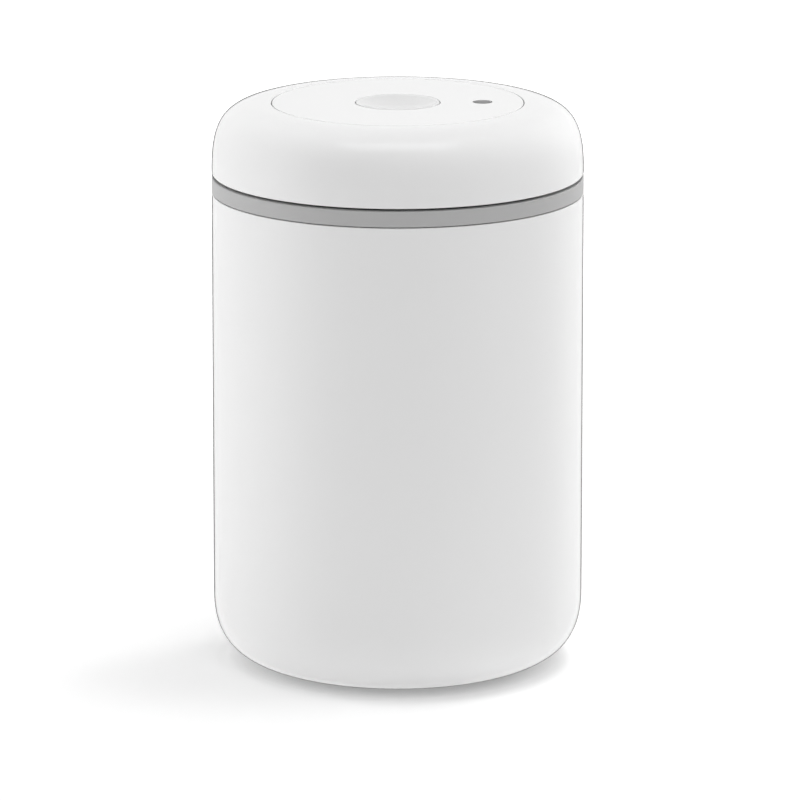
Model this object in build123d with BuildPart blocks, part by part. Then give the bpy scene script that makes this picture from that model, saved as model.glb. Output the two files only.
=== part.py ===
from build123d import *
import os
from math import atan, cos, degrees, pi, sin

# Twist-to-pump vacuum seal canister, in millimetres and degrees. Z is up through the middle of
# everything round, zero is the surface it stands on, and the front is -Y.
os.makedirs("parts", exist_ok=True)

# Steel canister
body_radius = 62.25
rim_height = 161.45
shell_wall = 1.0
standing_ring = 9.0
corner_rise = 23.9
corner_share = 0.705
recess_radius = 24.0
recess_depth = 1.2
recess_slope = 3.0
rim_ledge = 3.8
rim_round = 1.2
neck_depth = 8.0

# Outside of the lid
seat_gap = 0.3
collar_height = 5.3
collar_wall = 2.4
cap_gap = 0.7
cap_height = 23.9
cap_wall = 2.4
crown_run = 20.25
crown_rise = 22.35
crown_share = 0.77
plate_gap = 0.35
plate_wall = 2.2
edge_round = 0.4

# Button and vacuum indicator
button_radius = 14.0
button_gap = 0.35
button_wall = 1.6
button_lip = 0.7
button_skirt = 4.8
dish_depth = 1.4
button_crown = 3.2
hub_radius = 5.5
hub_depth = 6.7
release_travel = 2.5
indicator_radius = 3.0
indicator_gap = 0.3
indicator_travel = 2.5

# Lid base: plug, gasket groove and floor
plug_gap = 1.05
plug_wall = 3.0
plug_depth = 24.0
plug_round = 2.0
floor_wall = 2.2
flange_wall = 2.2
spigot_wall = 2.4
spigot_drop = 0.2
groove_depth = 1.5
groove_height = 6.0
groove_drop = 1.5
lip_count = 3
lip_wall = 0.45
lip_rise = 0.9

# Pump
twist_angle = 75.0
cam_lead = 50.4
pump_margin = 18.4
cylinder_wall = 2.2
piston_height = 5.0
piston_web = 2.0
piston_rim = 2.6
piston_lift = 1.9
piston_room = 2.6
piston_rib_wall = 1.6
piston_rib_count = 6
seal_groove_depth = 1.7
seal_groove_height = 2.5
guide_bore = 2.6
guide_wall = 2.0
tube_wall = 2.4
tower_wall = 2.0
tower_bore = 12.2
cover_wall = 2.2

# Cam sleeve, pins and driver
pin_radius = 1.5
pin_count = 3
pin_bite = 2.0
sleeve_wall = 3.2
sleeve_lift = 0.4
slot_margin = 2.5
pocket_depth = 0.15
driver_wall = 2.5
driver_margin = 3.85
spoke_width = 8.0
spoke_rib_wall = 2.0
spoke_rib_height = 4.0
clip_wall = 0.9
clip_bite = 0.8
clip_reach = 2.2
clip_opening = 9.0
lug_radius = 1.6
lug_hole_radius = 0.6
glide_inset = 5.1
glide_width = 2.6
glide_height = 3.0

# Screws, bosses and posts
screw_radius = 1.25
screw_length = 9.0
driver_screw_length = 6.0
head_radius = 2.6
head_height = 1.6
head_round = 0.6
boss_radius = 3.0
boss_gap = 0.8
boss_count = 6
driver_boss_inset = 3.5
post_radius = 3.8
post_share = 0.44
peg_radius = 1.6
peg_length = 8.0
plate_skirt = 3.0
plate_skirt_wall = 1.5
plate_skirt_inset = 0.8
collar_skirt = 3.5
vent_radius = 2.0
vent_circle = 22.0
vent_count = 6

# Indicator's column, diaphragm and duct
column_radius = 5.0
column_bore = 3.6
shelf_wall = 1.2
pin_stem_radius = 1.2
pin_head_height = 2.4
indicator_spring_room = 8.4
crown_room = 2.2
diaphragm_wall = 0.5
diaphragm_slack = 2.1
diaphragm_crown_radius = 2.6
duct_radius = 0.9
duct_rise = 1.5
duct_width = 6.0
duct_cover = 3.0
duct_seal_bore = 1.9
duct_seal_wall = 0.6

# Valves, filter and release
valve_radius = 5.0
valve_height = 1.2
valve_edge = 0.5
valve_stem_radius = 1.25
valve_bulb_radius = 1.9
valve_bulb_length = 1.4
valve_hole_radius = 0.9
valve_hole_circle = 3.1
valve_hole_count = 6
filter_inset = 9.9
filter_wall = 1.0
filter_rib_wall = 1.4
filter_rib_height = 2.0
filter_slot_width = 1.6
filter_slot_gap = 4.0
filter_inner_count = 12
filter_outer_count = 30
stem_radius = 2.0
stem_seal_wall = 1.5
release_seal_radius = 5.0
release_seal_wall = 1.2
stem_flange_wall = 1.0
button_spring_room = 14.3
button_wire_radius = 0.3
button_coil_radius = 3.6
button_turns = 7
indicator_wire_radius = 0.2
indicator_coil_radius = 2.4
indicator_turns = 6

# Clearances: pressed or snapped, sliding or turning, between loose neighbours, and past a cut
fit_gap = 0.05
run_gap = 0.1
loose_gap = 0.2
clear_gap = 0.35
overrun = 1.0

# Levels, from the ground up
collar_bottom = rim_height + seat_gap
collar_top = collar_bottom + collar_height
cap_bottom = collar_top + cap_gap
top = cap_bottom + cap_height
plate_bottom = top - plate_wall
neck_bottom = rim_height - neck_depth
floor_bottom = rim_height - plug_depth
floor_top = floor_bottom + floor_wall
flange_top = collar_bottom + flange_wall
spigot_top = collar_top - spigot_drop
groove_top = rim_height - groove_drop
groove_bottom = groove_top - groove_height
stroke = cam_lead * twist_angle / 360
piston_bottom = floor_top + piston_lift
piston_top = piston_bottom + piston_height
web_top = piston_bottom + piston_web
cover_bottom = piston_top + stroke + piston_room
cover_top = cover_bottom + cover_wall
sleeve_bottom = cover_top + sleeve_lift
pin_low = sleeve_bottom + slot_margin + loose_gap + pin_radius
pin_high = pin_low + stroke
sleeve_top = pin_high + pin_radius + loose_gap + slot_margin
clip_bottom = sleeve_top + loose_gap
tower_top = clip_bottom + 2 * clip_wall
driver_bottom = sleeve_top - driver_wall
glide_top = cover_top + glide_height
hub_bottom = top - hub_depth
guide_top = hub_bottom - button_spring_room
seal_groove_bottom = piston_bottom + (piston_height - seal_groove_height) / 2
release_seal_top = floor_bottom - loose_gap
release_seal_bottom = release_seal_top - release_seal_wall
stem_bottom = release_seal_bottom - stem_flange_wall
filter_top = stem_bottom - release_travel - clear_gap
head_bottom = top - pin_head_height
shelf_top = head_bottom - indicator_spring_room
shelf_bottom = shelf_top - shelf_wall
indicator_end = shelf_bottom - crown_room
column_split = indicator_end - indicator_travel - diaphragm_slack
duct_level = cover_top + duct_rise

# Radii, from the outside in and from the middle out
standing_radius = recess_radius + standing_ring
plate_radius = body_radius - crown_run
neck_radius = body_radius - rim_ledge
spigot_radius = body_radius - collar_wall - fit_gap
plug_radius = neck_radius - plug_gap
plug_bore = plug_radius - plug_wall
groove_radius = plug_radius - groove_depth
pump_radius = plug_bore - pump_margin
cylinder_radius = pump_radius + cylinder_wall
boss_circle = cylinder_radius + boss_gap + boss_radius
cover_radius = plug_bore - clear_gap
glide_outer = cover_radius - glide_inset
glide_inner = glide_outer - glide_width
driver_radius = body_radius - cap_wall - driver_margin
driver_boss_circle = driver_radius - driver_boss_inset
cap_hole = plate_radius + plate_gap
cap_skirt_radius = cap_hole + cap_wall
guide_radius = guide_bore + guide_wall
tube_radius = tower_bore - loose_gap
tube_bore = tube_radius - tube_wall
tower_radius = tower_bore + tower_wall
sleeve_bore = tower_radius + run_gap
sleeve_radius = sleeve_bore + sleeve_wall
piston_radius = pump_radius - clear_gap
inlet_circle = (guide_radius + pump_radius) / 2
exhaust_circle = (tube_radius + piston_radius - piston_rim) / 2
post_circle = sleeve_radius + post_share * (plate_radius - sleeve_radius)
filter_radius = plug_radius - filter_inset
button_bore = button_radius + button_gap
screw_hole_radius = screw_radius + loose_gap
pilot_radius = screw_radius + fit_gap

# Turns, in degrees: the spokes run between the posts, and the pins stand midway between the spokes
post_step = 360 / pin_count
spoke_angle = (post_step - twist_angle) / 2
pin_angle = post_step / 2
pin_angles = [pin_angle + post_step * n for n in range(pin_count)]
boss_step = 360 / boss_count

stands_on = (Align.CENTER, Align.CENTER, Align.MIN)
hangs_from = (Align.CENTER, Align.CENTER, Align.MAX)


def upright(x=0.0):
    """Plane through a point on the X axis, in which x is a radius and y is a height."""
    return Plane(origin=(x, 0, 0), x_dir=(1, 0, 0), z_dir=(0, -1, 0))


def facing(angle, height):
    """Plane on the axis that faces outwards at an angle, with its x pointing up."""
    outwards = (cos(angle * pi / 180), sin(angle * pi / 180), 0)
    return Plane(origin=(0, 0, height), x_dir=(0, 0, 1), z_dir=outwards)


def ring_face(inner, outer, low, high):
    """Half section of a plain ring between two radii and two heights."""
    with Locations(((inner + outer) / 2, (low + high) / 2)):
        Rectangle(outer - inner, high - low)


def soft_corner(flat_point, wall_point, share):
    """Curve from a flat stretch to an upright wall, its handles a share of the run and rise."""
    flat_handle = (flat_point[0] + share * (wall_point[0] - flat_point[0]), flat_point[1])
    wall_handle = (wall_point[0], wall_point[1] + share * (flat_point[1] - wall_point[1]))
    Bezier(flat_point, flat_handle, wall_handle, wall_point)


def corners(section, *points):
    """The section's corners that lie at the given radius and height pairs."""
    return [section.vertices().sort_by_distance((x, y, 0))[0] for x, y in points]


def umbrella_section(seat, wall):
    """Half section of an umbrella valve: cap on the seat, stem through the wall, bulb below it."""
    bulb_top = seat - wall - fit_gap
    Polygon(
        (0, seat + valve_height),
        (valve_stem_radius, seat + valve_height),
        (valve_radius, seat + valve_edge),
        (valve_radius, seat),
        (valve_stem_radius, seat),
        (valve_stem_radius, bulb_top),
        (valve_bulb_radius, bulb_top),
        (valve_stem_radius, bulb_top - valve_bulb_length),
        (0, bulb_top - valve_bulb_length),
        align=None,
    )


def valve_seat_holes():
    """The stem's hole and the ring of air holes that an umbrella valve covers."""
    Circle(valve_stem_radius + fit_gap)
    with PolarLocations(valve_hole_circle, valve_hole_count):
        Circle(valve_hole_radius)


# Canister: spun from one sheet, its base pushed up and its rim hemmed inwards to a short neck
with BuildPart() as canister_shell:
    with BuildSketch(upright()) as shell_section:
        with BuildLine():
            Polyline(
                (0, recess_depth + shell_wall),
                (0, recess_depth),
                (recess_radius - recess_slope, recess_depth),
                (recess_radius, 0),
                (standing_radius, 0),
            )
            soft_corner((standing_radius, 0), (body_radius, corner_rise), corner_share)
            Polyline(
                (body_radius, corner_rise),
                (body_radius, rim_height),
                (neck_radius, rim_height),
                (neck_radius, neck_bottom),
                (neck_radius + shell_wall, neck_bottom),
                (neck_radius + shell_wall, rim_height - shell_wall),
                (body_radius - shell_wall, rim_height - shell_wall),
                (body_radius - shell_wall, corner_rise),
            )
            soft_corner(
                (standing_radius, shell_wall), (body_radius - shell_wall, corner_rise), corner_share
            )
            Polyline(
                (standing_radius, shell_wall),
                (recess_radius, shell_wall),
                (recess_radius - recess_slope, recess_depth + shell_wall),
                (0, recess_depth + shell_wall),
            )
        make_face()
        fillet(corners(shell_section, (body_radius, rim_height)), rim_round)
        fillet(corners(shell_section, (neck_radius, rim_height)), edge_round)
    revolve(axis=Axis.Z)
canister_shell.part.label = "canister_shell"
export_step(canister_shell.part, "parts/canister_shell.step")

# Lid base: plug with a gasket groove, flange and spigot for the collar, pump cylinder, guide tube
with BuildPart() as lid_base:
    with BuildSketch(upright()) as cup_section:
        Polygon(
            (0, floor_bottom),
            (plug_radius, floor_bottom),
            (plug_radius, groove_bottom),
            (groove_radius, groove_bottom),
            (groove_radius, groove_top),
            (plug_radius, groove_top),
            (plug_radius, collar_bottom),
            (spigot_radius, collar_bottom),
            (spigot_radius, spigot_top),
            (spigot_radius - spigot_wall, spigot_top),
            (spigot_radius - spigot_wall, flange_top),
            (plug_bore, flange_top),
            (plug_bore, floor_top),
            (0, floor_top),
            align=None,
        )
        fillet(corners(cup_section, (plug_radius, floor_bottom)), plug_round)
        ring_face(pump_radius, cylinder_radius, floor_bottom, cover_bottom)
        ring_face(guide_bore, guide_radius, floor_bottom, guide_top)
        ring_face(
            filter_radius - filter_wall - fit_gap - filter_rib_wall,
            filter_radius - filter_wall - fit_gap,
            floor_bottom - filter_rib_height,
            floor_top,
        )
    revolve(axis=Axis.Z)
    with BuildSketch(Plane.XY.offset(floor_top)):
        with PolarLocations(boss_circle, boss_count):
            Circle(boss_radius)
    extrude(amount=cover_bottom - floor_top)
    with Locations(Plane.XY.offset(cover_bottom)):
        with PolarLocations(boss_circle, boss_count - 1, boss_step, 360 - 2 * boss_step, endpoint=True):
            Hole(pilot_radius, screw_length)
    with BuildSketch(Plane.XY.offset(guide_top)):
        Circle(guide_bore)
        with Locations((boss_circle, 0)):
            Circle(duct_radius)
    extrude(amount=floor_bottom - guide_top, mode=Mode.SUBTRACT)
    with BuildSketch(Plane.XY.offset(cover_bottom)):
        with Locations((boss_circle, 0)):
            Circle(duct_seal_bore)
    extrude(amount=-2 * duct_seal_wall, mode=Mode.SUBTRACT)
    with BuildSketch(Plane.XY.offset(floor_top)):
        with Locations((-inlet_circle, 0)):
            valve_seat_holes()
    extrude(amount=-floor_wall, mode=Mode.SUBTRACT)
lid_base.part.label = "lid_base"
export_step(lid_base.part, "parts/lid_base.step")

# Grey band pressed over the spigot
with BuildPart() as collar_ring:
    with BuildSketch(upright()) as collar_section:
        ring_face(body_radius - collar_wall, body_radius, collar_bottom, collar_top)
        outer_corners = [(body_radius, collar_bottom), (body_radius, collar_top)]
        fillet(corners(collar_section, *outer_corners), edge_round)
    revolve(axis=Axis.Z)
collar_ring.part.label = "collar_ring"
export_step(collar_ring.part, "parts/collar_ring.step")

# Gasket with upturned lips that just reach the neck
lip_step = groove_height / (lip_count + 1)
gasket_radius = plug_radius + fit_gap
with BuildPart() as mouth_gasket:
    with BuildSketch(upright()):
        ring_face(
            groove_radius + fit_gap, gasket_radius, groove_bottom + fit_gap, groove_top - fit_gap
        )
        for lip in range(lip_count):
            lip_level = groove_bottom + lip_step * (lip + 0.5)
            Polygon(
                (groove_radius + fit_gap, lip_level),
                (gasket_radius, lip_level),
                (neck_radius - run_gap, lip_level + lip_rise),
                (neck_radius - run_gap, lip_level + lip_rise + lip_wall),
                (gasket_radius, lip_level + 2 * lip_wall),
                (groove_radius + fit_gap, lip_level + 2 * lip_wall),
                align=None,
            )
    revolve(axis=Axis.Z)
mouth_gasket.part.label = "mouth_gasket"
export_step(mouth_gasket.part, "parts/mouth_gasket.step")

# Inlet valve in the plug's floor
with BuildPart() as inlet_valve:
    with BuildSketch(upright(-inlet_circle)):
        umbrella_section(floor_top, floor_wall)
    revolve(axis=Axis((-inlet_circle, 0, 0), (0, 0, 1)))
inlet_valve.part.label = "inlet_valve"
export_step(inlet_valve.part, "parts/inlet_valve.step")

# Filter: a shallow cup snapped over the floor's rib, with two rings of radial slots
filter_slot_start = release_seal_radius + filter_slot_gap
filter_slot_reach = filter_radius - filter_wall - filter_rib_wall - 2 * filter_slot_gap
filter_slot_middle = (filter_slot_start + filter_slot_reach) / 2
with BuildPart() as filter_screen:
    with BuildSketch(upright()) as filter_section:
        Polygon(
            (0, filter_top - filter_wall),
            (filter_radius, filter_top - filter_wall),
            (filter_radius, floor_bottom - run_gap),
            (filter_radius - filter_wall, floor_bottom - run_gap),
            (filter_radius - filter_wall, filter_top),
            (0, filter_top),
            align=None,
        )
        fillet(corners(filter_section, (filter_radius, filter_top - filter_wall)), filter_wall)
    revolve(axis=Axis.Z)
    with BuildSketch(Plane.XY.offset(filter_top)):
        inner_length = filter_slot_middle - filter_slot_start - filter_slot_gap / 2
        with PolarLocations(filter_slot_start + inner_length / 2, filter_inner_count):
            Rectangle(inner_length, filter_slot_width)
        outer_length = filter_slot_reach - filter_slot_middle - filter_slot_gap / 2
        with PolarLocations(filter_slot_reach - outer_length / 2, filter_outer_count):
            Rectangle(outer_length, filter_slot_width)
    extrude(amount=-filter_wall, mode=Mode.SUBTRACT)
filter_screen.part.label = "filter_screen"
export_step(filter_screen.part, "parts/filter_screen.step")

# Pump cover: plate, central tower with upright slots, two posts and the indicator's column
with BuildPart() as pump_cover:
    with BuildSketch(upright()) as cover_section:
        Polygon(
            (tower_bore, cover_bottom),
            (cover_radius, cover_bottom),
            (cover_radius, cover_top),
            (tower_radius, cover_top),
            (tower_radius, clip_bottom),
            (tower_radius - clip_bite, clip_bottom),
            (tower_radius - clip_bite, clip_bottom + clip_wall + fit_gap),
            (tower_radius, clip_bottom + clip_wall + fit_gap),
            (tower_radius, tower_top),
            (tower_bore, tower_top),
            align=None,
        )
        fillet(corners(cover_section, (cover_radius, cover_top)), edge_round)
    revolve(axis=Axis.Z)
    with BuildSketch(Plane.XY.offset(cover_top)):
        with PolarLocations(post_circle, pin_count - 1, post_step, post_step, endpoint=True):
            Circle(post_radius)
    extrude(amount=plate_bottom - cover_top)
    with Locations(Plane.XY.offset(plate_bottom)):
        with PolarLocations(post_circle, pin_count - 1, post_step, post_step, endpoint=True):
            Hole(peg_radius + fit_gap, peg_length + overrun)
    with BuildSketch(Plane.XY.offset(cover_top)):
        with Locations((post_circle, 0)):
            Circle(column_radius)
    extrude(amount=column_split - cover_top)
    with BuildSketch(Plane.XY.offset(cover_top)):
        with Locations((boss_circle, 0)):
            Circle(duct_width / 2)
        with Locations(((post_circle + boss_circle) / 2, 0)):
            Rectangle(boss_circle - post_circle, duct_width)
    extrude(amount=duct_cover)
    with BuildSketch(Plane.XY.offset(column_split)):
        with Locations((post_circle, 0)):
            Circle(column_bore - fit_gap)
    extrude(amount=duct_level - column_split, mode=Mode.SUBTRACT)
    with BuildSketch(Plane.YZ.offset(post_circle)):
        with Locations((0, duct_level)):
            Circle(duct_radius)
    extrude(amount=boss_circle - post_circle, mode=Mode.SUBTRACT)
    with BuildSketch(Plane.XY.offset(duct_level)):
        with Locations((boss_circle, 0)):
            Circle(duct_radius)
    extrude(amount=cover_bottom - duct_level, mode=Mode.SUBTRACT)
    with BuildSketch(Plane.XY.offset(cover_top)):
        with PolarLocations(boss_circle, boss_count - 1, boss_step, 360 - 2 * boss_step, endpoint=True):
            Circle(screw_hole_radius)
        with PolarLocations(vent_circle, vent_count, 180 / vent_count):
            Circle(vent_radius)
    extrude(amount=-cover_wall, mode=Mode.SUBTRACT)
    for angle in pin_angles:
        with BuildSketch(facing(angle, (pin_low + pin_high) / 2)):
            SlotCenterToCenter(stroke, 2 * (pin_radius + loose_gap))
        extrude(amount=tower_radius + overrun, mode=Mode.SUBTRACT)
pump_cover.part.label = "pump_cover"
export_step(pump_cover.part, "parts/pump_cover.step")

# Ring that seals the duct between the boss and the cover
with BuildPart() as duct_seal:
    with BuildSketch(upright(boss_circle)):
        ring_face(duct_radius, duct_seal_bore - fit_gap, cover_bottom - 2 * duct_seal_wall, cover_bottom)
    revolve(axis=Axis((boss_circle, 0, 0), (0, 0, 1)))
duct_seal.part.label = "duct_seal"
export_step(duct_seal.part, "parts/duct_seal.step")

# Screws that hold the cover on its bosses
with BuildPart() as cover_screws:
    with Locations(Plane.XY.offset(cover_top)):
        with PolarLocations(boss_circle, boss_count - 1, boss_step, 360 - 2 * boss_step, endpoint=True):
            Cylinder(head_radius, head_height, align=stands_on)
            Cylinder(screw_radius, screw_length, align=hangs_from)
    fillet(cover_screws.edges().group_by(Axis.Z)[-1], head_round)
cover_screws.part.label = "cover_screws"
export_step(cover_screws.part, "parts/cover_screws.step")

# Low-friction ring under the driver's skirt
with BuildPart() as glide_ring:
    with BuildSketch(upright()) as glide_section:
        ring_face(glide_inner, glide_outer, cover_top, glide_top)
        chamfer(corners(glide_section, (glide_inner, glide_top), (glide_outer, glide_top)), edge_round)
    revolve(axis=Axis.Z)
glide_ring.part.label = "glide_ring"
export_step(glide_ring.part, "parts/glide_ring.step")

# Clip in the tower's groove, open on one side with a lug at each end
clip_radius = tower_radius + clip_reach
lug_offset = clip_opening / 2 + lug_radius
with BuildPart() as sleeve_clip:
    with BuildSketch(Plane.XY.offset(clip_bottom + fit_gap / 2)):
        Circle(clip_radius)
        with Locations((lug_offset, clip_radius), (-lug_offset, clip_radius)):
            Circle(lug_radius)
            Circle(lug_hole_radius, mode=Mode.SUBTRACT)
        Circle(tower_radius - clip_bite + fit_gap, mode=Mode.SUBTRACT)
        with Locations((0, clip_radius)):
            Rectangle(clip_opening, clip_radius, mode=Mode.SUBTRACT)
    extrude(amount=clip_wall)
sleeve_clip.part.label = "sleeve_clip"
export_step(sleeve_clip.part, "parts/sleeve_clip.step")

# Fixed disc: rim skirt, collar round the button, pegs into the posts and the indicator's hole
with BuildPart() as top_plate:
    with BuildSketch(upright()) as plate_section:
        ring_face(button_bore, plate_radius, plate_bottom, top)
        fillet(corners(plate_section, (button_bore, top), (plate_radius, top)), edge_round)
        ring_face(
            button_bore, button_bore + plate_skirt_wall, plate_bottom - collar_skirt, top - edge_round
        )
        ring_face(
            plate_radius - plate_skirt_inset - plate_skirt_wall,
            plate_radius - plate_skirt_inset,
            plate_bottom - plate_skirt,
            plate_bottom,
        )
    revolve(axis=Axis.Z)
    with Locations(Plane.XY.offset(plate_bottom)):
        with PolarLocations(post_circle, pin_count - 1, post_step, post_step, endpoint=True):
            Cylinder(peg_radius, peg_length, align=hangs_from)
    with BuildSketch(Plane.XY.offset(top)):
        with Locations((post_circle, 0)):
            Circle(indicator_radius + indicator_gap)
    extrude(amount=-plate_wall, mode=Mode.SUBTRACT)
top_plate.part.label = "top_plate"
export_step(top_plate.part, "parts/top_plate.step")

# Tube that guides the indicator and clamps the diaphragm's rim on the column
with BuildPart() as indicator_housing:
    with BuildSketch(upright(post_circle)):
        ring_face(column_bore, column_radius, column_split + diaphragm_wall, plate_bottom)
        ring_face(pin_stem_radius + clear_gap, column_bore, shelf_bottom, shelf_top)
    revolve(axis=Axis((post_circle, 0, 0), (0, 0, 1)))
indicator_housing.part.label = "indicator_housing"
export_step(indicator_housing.part, "parts/indicator_housing.step")

# Diaphragm: flat rim, sloping wall and a crown under the indicator's stem
diaphragm_root = column_bore - clear_gap
diaphragm_top = indicator_end - fit_gap
with BuildPart() as indicator_diaphragm:
    with BuildSketch(upright(post_circle)):
        Polygon(
            (column_radius, column_split),
            (column_radius, column_split + diaphragm_wall),
            (diaphragm_root, column_split + diaphragm_wall),
            (diaphragm_crown_radius, diaphragm_top),
            (0, diaphragm_top),
            (0, diaphragm_top - diaphragm_wall),
            (diaphragm_crown_radius - diaphragm_wall, diaphragm_top - diaphragm_wall),
            (diaphragm_root - diaphragm_wall, column_split),
            align=None,
        )
    revolve(axis=Axis((post_circle, 0, 0), (0, 0, 1)))
indicator_diaphragm.part.label = "indicator_diaphragm"
export_step(indicator_diaphragm.part, "parts/indicator_diaphragm.step")

# Grey dot and its stem
with BuildPart() as indicator_pin:
    with BuildSketch(upright(post_circle)) as pin_section:
        ring_face(0, indicator_radius, head_bottom, top)
        chamfer(corners(pin_section, (indicator_radius, top)), indicator_gap)
        ring_face(0, pin_stem_radius, indicator_end, head_bottom)
    revolve(axis=Axis((post_circle, 0, 0), (0, 0, 1)))
indicator_pin.part.label = "indicator_pin"
export_step(indicator_pin.part, "parts/indicator_pin.step")

# Cap: domed ring with a skirt beside the disc and bosses for the driver's screws
with BuildPart() as cap_cavity:
    with BuildSketch(upright()):
        with BuildLine():
            Polyline(
                (body_radius - cap_wall, top - crown_rise),
                (body_radius - cap_wall, cap_bottom - overrun),
                (0, cap_bottom - overrun),
                (0, driver_bottom),
                (cap_skirt_radius, driver_bottom),
                (cap_skirt_radius, top - cap_wall),
            )
            soft_corner(
                (cap_skirt_radius, top - cap_wall),
                (body_radius - cap_wall, top - crown_rise),
                crown_share,
            )
        make_face()
    revolve(axis=Axis.Z)
    with BuildSketch(Plane.XY.offset(sleeve_top)):
        with PolarLocations(driver_boss_circle, boss_count):
            Circle(boss_radius)
    extrude(amount=top - sleeve_top, mode=Mode.SUBTRACT)

with BuildPart() as cap_shell:
    with BuildSketch(upright()) as cap_section:
        with BuildLine():
            Polyline(
                (body_radius, top - crown_rise),
                (body_radius, cap_bottom),
                (cap_hole, cap_bottom),
                (cap_hole, top),
            )
            soft_corner((cap_hole, top), (body_radius, top - crown_rise), crown_share)
        make_face()
        fillet(corners(cap_section, (body_radius, cap_bottom), (cap_hole, top)), edge_round)
    revolve(axis=Axis.Z)
    add(cap_cavity.part, mode=Mode.SUBTRACT)
    with BuildSketch(Plane.XY.offset(cap_bottom)):
        Circle(cap_skirt_radius)
    extrude(amount=top - plate_wall - plate_skirt - cap_bottom, mode=Mode.SUBTRACT)
    with Locations(Plane.XY.offset(sleeve_top)):
        with PolarLocations(driver_boss_circle, boss_count):
            Cylinder(
                pilot_radius, driver_screw_length - driver_wall, align=stands_on, mode=Mode.SUBTRACT
            )
cap_shell.part.label = "cap_shell"
export_step(cap_shell.part, "parts/cap_shell.step")

# Cutter for one cam slot: a section swept up a left-hand helix, from the pin's low place
cam_radius = (sleeve_bore + sleeve_radius) / 2
cam_slope = degrees(atan(cam_lead / (2 * pi * cam_radius)))
slot_half_width = pin_radius + loose_gap
with BuildPart() as cam_slot:
    with BuildLine():
        Helix(cam_lead, stroke, cam_radius, center=(0, 0, pin_low), lefthand=True)
    slot_start = Plane(origin=(cam_radius, 0, pin_low), x_dir=(1, 0, 0), z_dir=(0, -1, 0))
    with BuildSketch(slot_start.rotated((-cam_slope, 0, 0))):
        Rectangle(sleeve_wall + 2 * overrun, 2 * slot_half_width)
    sweep(is_frenet=True)

# Driver: the cam sleeve, whose slots end in shallow round pockets where the pins rest, then the
# outer ring and skirt, and the ribbed spokes between
with BuildPart() as cap_driver:
    with BuildSketch(Plane.XY.offset(sleeve_bottom)):
        Circle(sleeve_radius)
        Circle(sleeve_bore, mode=Mode.SUBTRACT)
    extrude(amount=sleeve_top - sleeve_bottom)
    with PolarLocations(0, pin_count, pin_angle):
        add(cam_slot.part, mode=Mode.SUBTRACT)
    for angle in pin_angles:
        for turned, height in ((0, pin_low), (-twist_angle, pin_high)):
            with BuildSketch(facing(angle + turned, height)):
                Circle(slot_half_width + pocket_depth)
            extrude(amount=sleeve_radius + overrun, mode=Mode.SUBTRACT)
    with BuildSketch(upright()):
        ring_face(glide_inner + loose_gap, driver_radius, driver_bottom, sleeve_top)
        ring_face(
            glide_inner + loose_gap, glide_outer - loose_gap, glide_top + loose_gap, driver_bottom
        )
    revolve(axis=Axis.Z)
    with Locations(Plane.XY.offset(sleeve_top)):
        with PolarLocations(driver_boss_circle, boss_count):
            Hole(screw_hole_radius, driver_wall)
    spoke_reach = glide_outer - sleeve_radius
    with BuildSketch(Plane.XY.offset(sleeve_top)):
        with PolarLocations(cam_radius + spoke_reach / 2, pin_count, spoke_angle):
            Rectangle(spoke_reach, spoke_width)
    extrude(amount=-driver_wall)
    with BuildSketch(Plane.XY.offset(driver_bottom)):
        with PolarLocations(cam_radius + spoke_reach / 2, pin_count, spoke_angle):
            Rectangle(spoke_reach, spoke_rib_wall)
    extrude(amount=-spoke_rib_height)
cap_driver.part.label = "cap_driver"
export_step(cap_driver.part, "parts/cap_driver.step")

# Screws up into the cap's bosses
with BuildPart() as driver_screws:
    with Locations(Plane.XY.offset(driver_bottom)):
        with PolarLocations(driver_boss_circle, boss_count):
            Cylinder(head_radius, head_height, align=hangs_from)
            Cylinder(screw_radius, driver_screw_length - loose_gap, align=stands_on)
    fillet(driver_screws.edges().group_by(Axis.Z)[0], head_round)
driver_screws.part.label = "driver_screws"
export_step(driver_screws.part, "parts/driver_screws.step")

# Piston: grooved rim, web with ribs, sealed hub and the long tube that carries the cam pins
rim_bore = piston_radius - piston_rim
tube_top = pin_low + pin_radius + slot_margin
with BuildPart() as pump_piston:
    with BuildSketch(upright()):
        ring_face(guide_radius + clear_gap, piston_radius, piston_bottom, web_top)
        ring_face(rim_bore, piston_radius, piston_bottom, piston_top)
        ring_face(guide_radius + clear_gap, tube_bore, piston_bottom, piston_top)
        ring_face(tube_bore, tube_radius, piston_bottom, tube_top)
        with Locations((piston_radius, seal_groove_bottom)):
            Rectangle(
                2 * seal_groove_depth,
                seal_groove_height,
                align=(Align.CENTER, Align.MIN),
                mode=Mode.SUBTRACT,
            )
        with Locations((guide_radius, seal_groove_bottom)):
            Rectangle(
                2 * (stem_seal_wall + run_gap),
                seal_groove_height,
                align=(Align.CENTER, Align.MIN),
                mode=Mode.SUBTRACT,
            )
    revolve(axis=Axis.Z)
    rib_length = rim_bore - tube_radius
    with BuildSketch(Plane.XY.offset(web_top)):
        with PolarLocations(tube_radius + rib_length / 2, piston_rib_count):
            Rectangle(rib_length + 2 * fit_gap, piston_rib_wall)
    extrude(amount=(piston_top - web_top) / 2)
    with BuildSketch(Plane.XY.offset(web_top)):
        with Locations((0, exhaust_circle)):
            valve_seat_holes()
    extrude(amount=-piston_web, mode=Mode.SUBTRACT)
    for angle in pin_angles:
        with BuildSketch(facing(angle, pin_low)):
            Circle(pin_radius + fit_gap)
        extrude(amount=tube_radius + overrun, mode=Mode.SUBTRACT)
pump_piston.part.label = "pump_piston"
export_step(pump_piston.part, "parts/pump_piston.step")

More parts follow.
